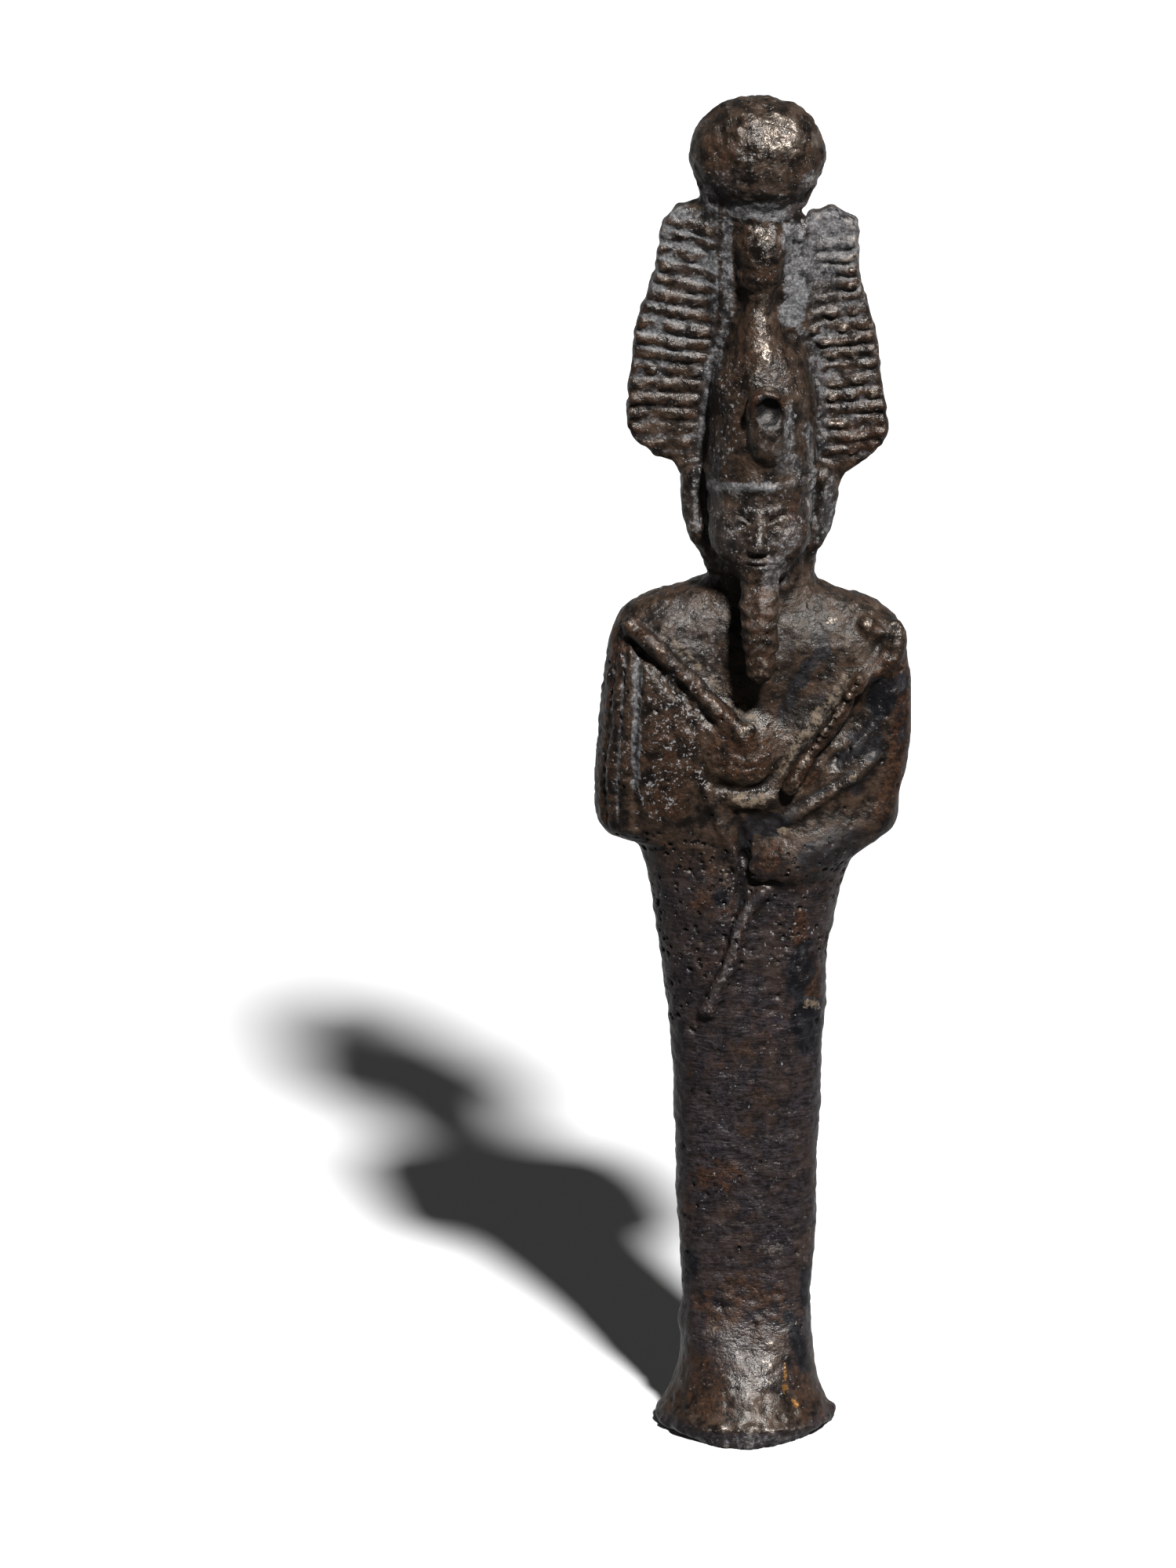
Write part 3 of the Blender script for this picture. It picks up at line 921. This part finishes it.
# matte skin, where the light leaves no sheen
DULL_PATCHES = (
    (900, 810, 90, 60, -30, 0.66), (1045, 795, 80, 56, 20, 0.80), (1030, 880, 60, 50, 0, 0.5),
    (985, 1050, 60, 26, 0, 0.5), (925, 1800, 60, 22, 0, 0.4), (980, 536, 22, 20, 0, 0.9),
    (1056, 1072, 56, 30, -30, 1.0), (1095, 960, 30, 40, 30, 0.4),
)
BLUE_PATCHES = (
    (1022, 1238, 18, 38, 8, 0.85), (1032, 1305, 22, 40, 0, 0.90), (1128, 892, 22, 28, 20, 0.90),
    (1102, 945, 24, 20, 40, 0.75), (918, 1142, 11, 15, 0, 0.85), (880, 1612, 12, 22, 0, 0.85),
    (1029, 1640, 8, 30, 0, 0.90), (975, 1052, 18, 11, 0, 0.8), (1040, 905, 20, 36, 30, 0.55),
    (1090, 1000, 20, 10, 30, 0.6), (868, 1700, 8, 40, 0, 0.45), (1045, 1450, 7, 80, 0, 0.5),
    (868, 1400, 7, 120, 0, 0.5), (840, 1200, 9, 90, 5, 0.5), (1150, 920, 9, 50, 0, 0.55),
    (1000, 830, 14, 44, 0, 0.45), (930, 730, 14, 20, 0, 0.5), (1058, 650, 9, 40, 5, 0.5),
    (1085, 1118, 12, 30, 20, 0.4), (980, 531, 20, 20, 0, 0.45), (984, 1050, 26, 15, 0, 0.75),
    (965, 1044, 16, 12, 0, 0.6), (1004, 1038, 14, 12, 0, 0.5),
    (952, 1066, 10, 20, 0, 0.9), (912, 600, 9, 22, 0, 0.6), (1122, 880, 16, 22, 30, 0.95),
    (1046, 814, 12, 30, -10, 0.72), (1022, 862, 12, 34, 25, 0.80), (1002, 903, 9, 24, 25, 0.66),
    (1060, 1080, 44, 24, -35, 0.60), (978, 528, 15, 22, 0, 0.85),
)
BLUE_STRIPS = (
    (((1006, 1678), (1018, 1708), (1030, 1746)), 8, 0.92),
    (((1150, 868), (1122, 905), (1098, 945), (1070, 972)), 13, 0.70),
    (((1004, 1030), (1050, 1006), (1085, 985)), 6, 0.55),
    (((947, 1050), (947, 1150)), 7, 0.60),
)
RUST_PATCHES = (
    (1020, 1185, 12, 30, 0, 0.75), (1032, 1240, 13, 46, -12, 0.90), (918, 1498, 40, 26, 0, 0.55),
    (950, 1668, 74, 36, 0, 0.48), (895, 1765, 60, 52, 0, 0.46), (1034, 1765, 26, 44, 0, 0.50),
    (944, 962, 42, 36, 0, 0.60), (984, 1092, 26, 24, 0, 0.62), (1024, 984, 20, 22, 0, 0.72),
    (968, 800, 22, 66, 0, 0.55), (968, 332, 36, 46, 0, 0.42), (985, 690, 30, 30, 0, 0.30),
    (1020, 650, 20, 30, 0, 0.50), (855, 980, 34, 80, 0, 0.50), (1128, 848, 22, 18, 0, 0.60),
    (1102, 800, 26, 18, 0, 0.50), (918, 215, 36, 44, 0, 0.36), (1095, 560, 40, 24, 0, 0.55),
    (860, 440, 50, 26, 0, 0.30), (1036, 862, 16, 18, 0, 0.55), (1072, 345, 26, 60, 0, 0.36),
    (1010, 1130, 26, 20, 0, 0.40), (935, 1085, 22, 30, 0, 0.35), (1000, 1460, 40, 60, 0, 0.20),
)
RUST_STRIPS = (
    (((783, 815), (774, 880), (767, 960), (768, 1045)), 15, 0.62),
    (((1152, 850), (1150, 920), (1142, 985), (1122, 1036)), 13, 0.82),
    (((955, 519), (967, 506), (981, 502), (996, 510), (1003, 526)), 5, 0.95),
    (((803, 791), (893, 878), (950, 938)), 9, 0.58),
    (((1096, 866), (1058, 926), (1010, 996)), 8, 0.55),
    (ROD, 8, 0.50),
)
EARTH_PATCHES = (
    (957, 1018, 28, 10, 0, 0.62), (998, 1057, 9, 5, 0, 0.85), (1087, 991, 6, 5, 0, 0.95),
    (1016, 1008, 10, 14, 30, 0.40), (1034, 1280, 10, 7, 0, 0.55), (925, 1110, 10, 30, 0, 0.26),
    (905, 1700, 12, 18, 0, 0.25),
)
EARTH_STRIPS = (
    (((858, 818), (900, 858), (934, 893), (958, 918)), 8, 0.62),
    (((1078, 868), (1050, 905), (1016, 950), (992, 985)), 9, 0.55),
)
WEAR_PATCHES = (
    (983, 1740, 12, 36, 0, 0.42), (1060, 791, 12, 8, 0, 0.70), (975, 400, 8, 30, 0, 0.44),
    (973, 450, 13, 36, 0, 0.42), (978, 492, 12, 12, 0, 0.40), (972, 300, 15, 10, 0, 0.55),
    (998, 176, 40, 34, 0, 0.48), (968, 212, 40, 26, 0, 0.26), (950, 931, 9, 7, 0, 0.70), (952, 1728, 12, 22, 0, 0.16),
    (968, 850, 14, 20, 0, 0.35), (1010, 800, 10, 10, 0, 0.2), (1105, 793, 8, 7, 0, 0.5),
    (975, 1590, 30, 16, 0, 0.35), (1080, 300, 26, 30, 0, 0.30), (1140, 800, 8, 10, 0, 0.5),
)
WEAR_STRIPS = (
    (((905, 1824), (970, 1826), (1026, 1821)), 2, 0.50),
    (((806, 793), (893, 877), (950, 936)), 4, 0.30),
    (((1096, 864), (1058, 922), (1010, 994)), 4, 0.40),
    (ROD, 4, 0.24),
)
GOLD_STRIPS = (
    (((999, 1734), (1002, 1752), (1001, 1776)), 3.0, 0.62),
    (((1001, 1776), (1018, 1794)), 1.6, 0.75),
)


def smooth_by(v, edges, times):
    """Points drawn to their neighbours' mean, again and again."""
    out = v.copy()
    count = np.bincount(edges.ravel(), minlength=len(v)).astype(float)[:, None]
    for _ in range(times):
        total = np.empty_like(out)
        for axis in range(3):
            total[:, axis] = np.bincount(edges[:, 0], out[edges[:, 1], axis], len(v))
            total[:, axis] += np.bincount(edges[:, 1], out[edges[:, 0], axis], len(v))
        out = 0.35 * out + 0.65 * total / count
    return out


def paint(me):
    """Vertex attributes that say what lies where on the skin, each 0 to 1."""
    count = len(me.vertices)
    v = np.empty(count * 3)
    n = np.empty(count * 3)
    e = np.empty(len(me.edges) * 2, np.int32)
    me.vertices.foreach_get("co", v)
    me.vertex_normals.foreach_get("vector", n)
    me.edges.foreach_get("vertices", e)
    v, n, e = v.reshape(-1, 3) / MM - SHIFT, n.reshape(-1, 3), e.reshape(-1, 2)
    x, y, z = v.T
    col = COL0 + x / PX
    row = ROW0 - (z * CT + y * ST) / PX
    ahead = ramp(n[:, 1], 0.30, -0.10)
    wild = noise(v, 1.5, 101) * 0.22 + noise(v, 0.75, 103) * 0.16
    loose = noise(v, (5.0, 5.0, 7.0), 105)
    near = noise(v, (2.2, 2.2, 3.0), 107)

    def patches(rows, out):
        for c, r, a, b, turn, amount in rows:
            t = math.radians(turn)
            dc, dr = col - c, row - r
            p = (dc * math.cos(t) + dr * math.sin(t)) / a
            q = (-dc * math.sin(t) + dr * math.cos(t)) / b
            d = np.sqrt(p * p + q * q) + wild
            out = np.maximum(out, amount * ramp(d, 1.25, 0.72) * ahead)
        return out

    def strips(rows, out):
        for path, half, amount in rows:
            d = line_distance(col, row, path) / half + wild
            out = np.maximum(out, amount * ramp(d, 1.35, 0.60) * ahead)
        return out

    # hollows and ridges, at two scales
    fine = ((smooth_by(v, e, 3) - v) * n).sum(1)
    wide = ((smooth_by(v, e, 24) - v) * n).sum(1)
    hollow = np.clip(ramp(fine, 0.004, 0.045) * 0.6 + ramp(wide, 0.02, 0.28) * 0.8, 0, 1)
    crest = np.clip(ramp(-fine, 0.006, 0.040) * 0.6 + ramp(-wide, 0.03, 0.25) * 0.6, 0, 1)

    zero = np.zeros(count)
    dust = patches(DUST_PATCHES, zero)
    dust = strips(DUST_STRIPS, dust)
    # plumes: dust lies between the barbs
    sheet = ramp(y, 1.4, 0.7) * ramp(y, -1.3, -0.7) * ramp(z, 115.0, 114.2) * ahead
    on_left = ramp(x, -2.6, -3.2) * ramp(z, 90.5, 91.8) * sheet
    on_right = ramp(x, 4.6, 5.2) * ramp(z, 90.0, 91.5) * sheet
    high = barbs(x, z) / 0.34
    gap = 1 - ramp(high, 0.10, 0.55)
    upper = ramp(z, 96.0, 104.0)
    patchy = 0.6 + 0.4 * ramp(near + 0.6 * loose, -0.5, 0.5)
    dust = np.maximum(dust, on_left * (0.14 + 0.14 * upper + (0.34 + 0.24 * upper) * gap) * patchy * ramp(x, -11.6, -10.2))
    dust = np.maximum(dust, on_right * (0.22 + 0.14 * upper + 0.34 * gap) * patchy * ramp(x, 12.2, 10.4))
    bare = np.maximum(on_left * ramp(z, 114.0, 112.0), on_right)
    # and thinly everywhere, more in the upper half and on the hidden side
    thin = 0.02 + 0.14 * ramp(z, 72, 88) + 0.12 * ramp(n[:, 1], 0.0, 0.4) * ramp(z, 45, 75)
    dust = np.maximum(dust, thin + 0.08 * near + 0.05 * loose)
    dust = dust * (1 - 0.25 * ramp(loose, 0.2, 0.8) * (1 - bare))

    blue = strips(BLUE_STRIPS, patches(BLUE_PATCHES, zero))
    blue = np.maximum(blue, (1 - ahead) * 0.75 * ramp(near + 0.6 * loose, 0.45, 0.85))
    rust = strips(RUST_STRIPS, patches(RUST_PATCHES, zero))
    rust = np.maximum(rust, bare * ramp(high, 0.35, 0.9) * 0.5)
    rust = np.maximum(rust, (0.35 + 0.25 * (1 - ahead)) * ramp(noise(v, (3.5, 3.5, 5.0), 109), 0.05, 0.7))
    earth = strips(EARTH_STRIPS, patches(EARTH_PATCHES, zero))
    earth = np.maximum(earth, (1 - ahead) * 0.35 * hollow * ramp(noise(v, 3.0, 111), 0.2, 0.7))
    wear = strips(WEAR_STRIPS, patches(WEAR_PATCHES, zero))
    wear = np.maximum(wear, on_right * ramp(high, 0.55, 1.0) * 0.40)
    wear = np.maximum(wear, on_left * ramp(high, 0.55, 1.0) * ramp(z, 103, 109) * 0.36)
    wear = np.maximum(wear, crest * 0.22)
    gold = strips(GOLD_STRIPS, zero)
    cool = ramp(z, 60, 48) * ramp(z, 2, 10) * (0.75 + 0.25 * near)
    cool = np.maximum(cool, ramp(z, 2.1, 1.2) * 0.8)
    low = ramp(row, 1045, 1085) * ramp(row, 1335, 1270)
    pits = low * np.maximum(ramp(col, 985, 930), ramp(col, 975, 1000) * ramp(row, 1250, 1200))
    pits = np.maximum(pits * (0.55 + 0.45 * ramp(near, -0.3, 0.4)), 0.14)
    rough = 0.55 + 0.45 * ramp(z, 50, 66)
    specks = patches(SPECK_PATCHES, zero + 0.05 + 0.10 * ramp(z, 60, 90))
    dull = patches(DULL_PATCHES, zero)
    # nothing pale inside the cobra's hollow
    inside = ramp(np.hypot((col - 980) / 19, (row - 528) / 20), 1.05, 0.80) * ahead * ramp(z, 94, 95)
    dust, specks = dust * (1 - inside), specks * (1 - inside)
    for name, value in (
        ("dust", dust), ("blue", blue), ("rust", rust), ("earth", earth), ("wear", wear),
        ("gold", gold), ("cool", cool), ("hollow", hollow), ("crest", crest),
        ("pits", pits), ("rough", rough), ("specks", specks), ("dull", dull),
    ):
        layer = me.attributes.new(name, "FLOAT", "POINT")
        layer.data.foreach_set("value", np.clip(value, 0, 1).astype(np.float32))


paint(mesh)


# ------------------------------------------------------------ the bronze
class Graph:
    """Short names for the shader nodes used below."""

    def __init__(self, material):
        material.use_nodes = True
        self.tree = material.node_tree
        self.nodes, self.links = self.tree.nodes, self.tree.links
        self.shader = self.nodes["Principled BSDF"]
        coord = self.nodes.new("ShaderNodeTexCoord")
        self.place = coord.outputs["Object"]

    def put(self, socket, value):
        if isinstance(value, bpy.types.NodeSocket):
            self.links.new(value, socket)
        else:
            socket.default_value = value

    def math(self, kind, a, b=0.0, c=0.0, clamp=False):
        node = self.nodes.new("ShaderNodeMath")
        node.operation, node.use_clamp = kind, clamp
        for socket, value in zip(node.inputs, (a, b, c)):
            self.put(socket, value)
        return node.outputs[0]

    def mul(self, a, b):
        return self.math("MULTIPLY", a, b)

    def add(self, a, b):
        return self.math("ADD", a, b)

    def step(self, value, a, b, low=0.0, high=1.0):
        node = self.nodes.new("ShaderNodeMapRange")
        node.interpolation_type = "SMOOTHSTEP"
        for name, val in (("Value", value), ("From Min", a), ("From Max", b), ("To Min", low), ("To Max", high)):
            self.put(node.inputs[name], val)
        return node.outputs["Result"]

    def mix(self, factor, a, b):
        node = self.nodes.new("ShaderNodeMix")
        node.data_type = "RGBA"
        self.put(node.inputs["Factor"], factor)
        for name, value in (("A", a), ("B", b)):
            socket = next(s for s in node.inputs if s.name == name and s.type == "RGBA")
            self.put(socket, value if isinstance(value, bpy.types.NodeSocket) else (*value, 1.0))
        return next(s for s in node.outputs if s.type == "RGBA")

    def noise(self, size_mm, detail=3.0, rough=0.6, stretch=None):
        vector = self.place
        if stretch:
            node = self.nodes.new("ShaderNodeMapping")
            node.inputs["Scale"].default_value = stretch
            self.links.new(vector, node.inputs["Vector"])
            vector = node.outputs[0]
        node = self.nodes.new("ShaderNodeTexNoise")
        node.inputs["Scale"].default_value = 1000.0 / size_mm
        node.inputs["Detail"].default_value = detail
        node.inputs["Roughness"].default_value = rough
        self.links.new(vector, node.inputs["Vector"])
        return node.outputs["Fac"]

    def cells(self, size_mm):
        node = self.nodes.new("ShaderNodeTexVoronoi")
        node.inputs["Scale"].default_value = 1000.0 / size_mm
        self.links.new(self.place, node.inputs["Vector"])
        return node.outputs["Distance"], node.outputs["Color"]

    def attribute(self, name):
        node = self.nodes.new("ShaderNodeAttribute")
        node.attribute_type = "GEOMETRY"
        node.attribute_name = name
        return node.outputs["Fac"]


def mask(g, amount, grain, soft=0.10):
    """Where the grain is over a level set by the amount: covers that share."""
    level = g.add(amount, g.mul(g.math("SUBTRACT", grain, 0.5), 2.4))
    return g.mul(g.step(level, 0.5 - soft, 0.5 + soft), g.step(amount, 0.02, 0.16))


def bronze():
    mat = bpy.data.materials.new("old_bronze")
    g = Graph(mat)
    dust, blue, rust, earth = (g.attribute(k) for k in ("dust", "blue", "rust", "earth"))
    wear, gold, cool = (g.attribute(k) for k in ("wear", "gold", "cool"))
    hollow, crest, pits, rough = (g.attribute(k) for k in ("hollow", "crest", "pits", "rough"))
    specks, dull = g.attribute("specks"), g.attribute("dull")

    speck = g.noise(0.42, 3.0, 0.65)
    grit = g.noise(0.24, 2.0, 0.6)
    mottle = g.noise(1.05, 4.0, 0.65)
    lump = g.noise(0.75, 1.2, 0.55)
    cloud = g.noise(2.6, 3.0, 0.55)
    streak = g.noise(0.9, 3.0, 0.6, (1.0, 1.0, 4.5))
    grain = g.add(g.mul(speck, 0.6), g.mul(mottle, 0.4))

    # the dark skin, brown above and cooler on the skirt
    tone = g.step(g.add(g.mul(mottle, 0.60), g.mul(cloud, 0.40)), 0.39, 0.62)
    brown = g.mix(tone, (0.0040, 0.0029, 0.0024), (0.0380, 0.0230, 0.0148))
    slate = g.mix(g.step(g.add(g.mul(streak, 0.6), g.mul(speck, 0.4)), 0.38, 0.64), (0.0042, 0.0038, 0.0048), (0.0310, 0.0255, 0.0300))
    color = g.mix(g.mul(cool, 0.85), brown, slate)
    # red-brown oxide
    red = g.mix(g.step(speck, 0.36, 0.66), (0.0062, 0.0032, 0.0020), (0.0420, 0.0170, 0.0073))
    on_red = mask(g, rust, g.add(g.mul(mottle, 0.6), g.mul(cloud, 0.4)), 0.22)
    color = g.mix(g.mul(on_red, 0.85), color, red)
    # blue-black, smooth
    on_blue = mask(g, blue, g.add(g.mul(mottle, 0.65), g.mul(cloud, 0.35)), 0.26)
    night = g.mix(g.step(mottle, 0.46, 0.64), (0.0018, 0.0023, 0.0037), (0.0085, 0.0096, 0.0125))
    color = g.mix(g.mul(on_blue, 0.88), color, night)
    # earth in the recesses
    on_earth = mask(g, earth, grain, 0.18)
    color = g.mix(on_earth, color, g.mix(g.step(speck, 0.38, 0.62), (0.030, 0.021, 0.014), (0.100, 0.074, 0.050)))
    # pale dust: a fine salt and pepper
    film = g.mul(g.step(dust, 0.22, 1.0), g.step(g.add(g.mul(mottle, 0.6), g.mul(cloud, 0.4)), 0.30, 0.66, 0.30, 1.0))
    color = g.mix(film, color, (0.072, 0.073, 0.078))
    on_dust = mask(g, g.mul(dust, 0.80), grain, 0.15)
    pale = g.mix(g.step(grit, 0.38, 0.64), (0.060, 0.060, 0.063), (0.165, 0.162, 0.164))
    color = g.mix(g.mul(on_dust, 0.80), color, pale)
    fleck = g.add(g.noise(0.40, 3.0, 0.70), g.mul(specks, 0.105))
    dot = g.mul(g.step(fleck, 0.665, 0.720), g.step(specks, 0.02, 0.10))
    color = g.mix(g.mul(dot, 0.85), color, (0.190, 0.187, 0.190))
    on_dust = g.math("MAXIMUM", on_dust, dot)
    # grime where it is deep, unless dust has filled it
    deep = g.mul(g.step(hollow, 0.25, 0.85), g.math("SUBTRACT", 1.0, g.mul(on_dust, 0.75)))
    color = g.mix(g.mul(deep, 0.70), color, (0.0050, 0.0042, 0.0040))
    # pinholes
    dist, tint = g.cells(0.62)
    share = g.math("LESS_THAN", tint, g.mul(pits, 0.50))
    hole = g.mul(g.step(dist, 0.38, 0.20), share)
    color = g.mix(hole, color, (0.0030, 0.0026, 0.0025))
    # metal showing where it has been rubbed
    rubbed = mask(g, wear, grain, 0.12)
    color = g.mix(g.mul(rubbed, 0.80), color, g.mix(crest, (0.105, 0.088, 0.074), (0.26, 0.215, 0.175)))
    golden = mask(g, gold, speck, 0.2)
    color = g.mix(golden, color, (0.36, 0.175, 0.050))
    g.put(g.shader.inputs["Base Color"], color)

    metal = g.math("MAXIMUM", g.mul(rubbed, 0.75), g.mul(golden, 0.9))
    g.put(g.shader.inputs["Metallic"], metal)
    g.shader.inputs["Specular IOR Level"].default_value = 0.36
    g.shader.inputs["Specular Tint"].default_value = (1.0, 0.94, 0.88, 1.0)
    gloss = g.step(mottle, 0.35, 0.65, 0.31, 0.44)
    gloss = g.add(gloss, g.mul(on_dust, 0.24))
    gloss = g.add(gloss, g.mul(on_earth, 0.30))
    gloss = g.add(gloss, g.mul(on_red, 0.06))
    gloss = g.add(gloss, g.mul(dull, 0.16))
    gloss = g.math("SUBTRACT", gloss, g.mul(rubbed, 0.10))
    g.put(g.shader.inputs["Roughness"], gloss)

    # relief finer than the mesh, in millimetres
    calm = g.math("SUBTRACT", 1.0, g.mul(on_blue, 0.25))
    relief = g.add(g.mul(lump, 0.090), g.mul(mottle, 0.110))
    relief = g.add(relief, g.add(g.mul(speck, 0.120), g.mul(grit, 0.030)))
    relief = g.mul(g.mul(relief, calm), rough)
    relief = g.add(relief, g.mul(g.mul(g.add(streak, speck), 0.060), cool))
    relief = g.math("SUBTRACT", relief, g.mul(hole, 0.12))
    bump = g.nodes.new("ShaderNodeBump")
    bump.inputs["Strength"].default_value = 1.0
    bump.inputs["Distance"].default_value = MM
    g.put(bump.inputs["Height"], relief)
    g.put(g.shader.inputs["Normal"], bump.outputs["Normal"])
    return mat


mesh.materials.clear()
mesh.materials.append(bronze())

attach(figure, "root")
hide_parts("osiris_figure")

# ------------------------------------------------------------ floor, light, camera
bpy.ops.mesh.primitive_plane_add(size=6.0, location=(0, 0.5, 0))
floor = bpy.context.object
floor.name = "floor"
paper = bpy.data.materials.new("pale_floor")
paper.use_nodes = True
p = paper.node_tree.nodes["Principled BSDF"]
p.inputs["Base Color"].default_value = (0.62, 0.62, 0.62, 1)
p.inputs["Roughness"].default_value = 0.9
p.inputs["Specular IOR Level"].default_value = 0.0
floor.data.materials.append(paper)
# the figure is lit from below by the world's lower half, not by this white sheet
floor.visible_diffuse = False
floor.visible_glossy = False

sun = bpy.data.lights.new("key", "SUN")
sun.energy = 8.8
sun.angle = math.radians(6.2)
key = bpy.data.objects.new("key", sun)
bpy.context.scene.collection.objects.link(key)
key.rotation_mode = "QUATERNION"
key.rotation_quaternion = Vector((0.236, -0.638, 0.733)).to_track_quat("Z", "Y")

world = bpy.data.worlds.new("studio")
bpy.context.scene.world = world
world.use_nodes = True
wn, wl = world.node_tree.nodes, world.node_tree.links
background = wn["Background"]
background.inputs["Color"].default_value = (1.0, 0.99, 0.985, 1)
# dim above and in front, brighter below and behind, as from a pale backdrop
aim = wn.new("ShaderNodeTexCoord")
split = wn.new("ShaderNodeSeparateXYZ")
wl.new(aim.outputs["Generated"], split.inputs[0])


def fade(socket, a, b, low, high):
    node = wn.new("ShaderNodeMapRange")
    node.interpolation_type = "SMOOTHSTEP"
    wl.new(socket, node.inputs["Value"])
    for name, val in (("From Min", a), ("From Max", b), ("To Min", low), ("To Max", high)):
        if isinstance(val, bpy.types.NodeSocket):
            wl.new(val, node.inputs[name])
        else:
            node.inputs[name].default_value = val
    return node.outputs["Result"]


below = fade(split.outputs["Y"], -0.20, 0.80, 0.09, 0.48)
above = fade(split.outputs["Y"], 0.25, 0.95, 0.022, 0.26)
# a soft bounce from behind and below, only on the skin's dull part
bounce = fade(split.outputs["Y"], 0.15, 0.75, 0.0, 16.0)
path = wn.new("ShaderNodeLightPath")
lift = wn.new("ShaderNodeMath")
lift.operation = "MULTIPLY_ADD"
for socket, source in zip(lift.inputs, (bounce, path.outputs["Is Diffuse Ray"], below)):
    wl.new(source, socket)
wl.new(fade(split.outputs["Z"], -0.03, 0.03, lift.outputs[0], above), background.inputs["Strength"])
white = wn.new("ShaderNodeBackground")
white.inputs["Color"].default_value = (1, 1, 1, 1)
white.inputs["Strength"].default_value = 1.05
mix = wn.new("ShaderNodeMixShader")
wl.new(path.outputs["Is Camera Ray"], mix.inputs[0])
wl.new(background.outputs[0], mix.inputs[1])
wl.new(white.outputs[0], mix.inputs[2])
wl.new(mix.outputs[0], wn["World Output"].inputs["Surface"])

scene = bpy.context.scene
scene.view_settings.view_transform = "Standard"
scene.view_settings.look = "None"

camera = bpy.data.cameras.new("camera")
camera.sensor_fit = "AUTO"
camera.sensor_width = 36.0
DISTANCE = 4.5
camera.lens = 36.0 * DISTANCE / (2000 * PX * MM)
camera.clip_start, camera.clip_end = 0.1, 20.0
eye = bpy.data.objects.new("camera", camera)
scene.collection.objects.link(eye)
# the picture's middle, column 750 and row 1000, on the plane y = 0
target = Vector((((750 - COL0) * PX + SHIFT[0]) * MM, SHIFT[1] * MM, (ROW0 - 998) * PX / CT * MM))
back = Vector((0.0, -CT, ST))
eye.location = target + back * DISTANCE
eye.rotation_mode = "QUATERNION"
eye.rotation_quaternion = (-back).to_track_quat("-Z", "Y")
scene.camera = eye

bpy.context.view_layer.update()
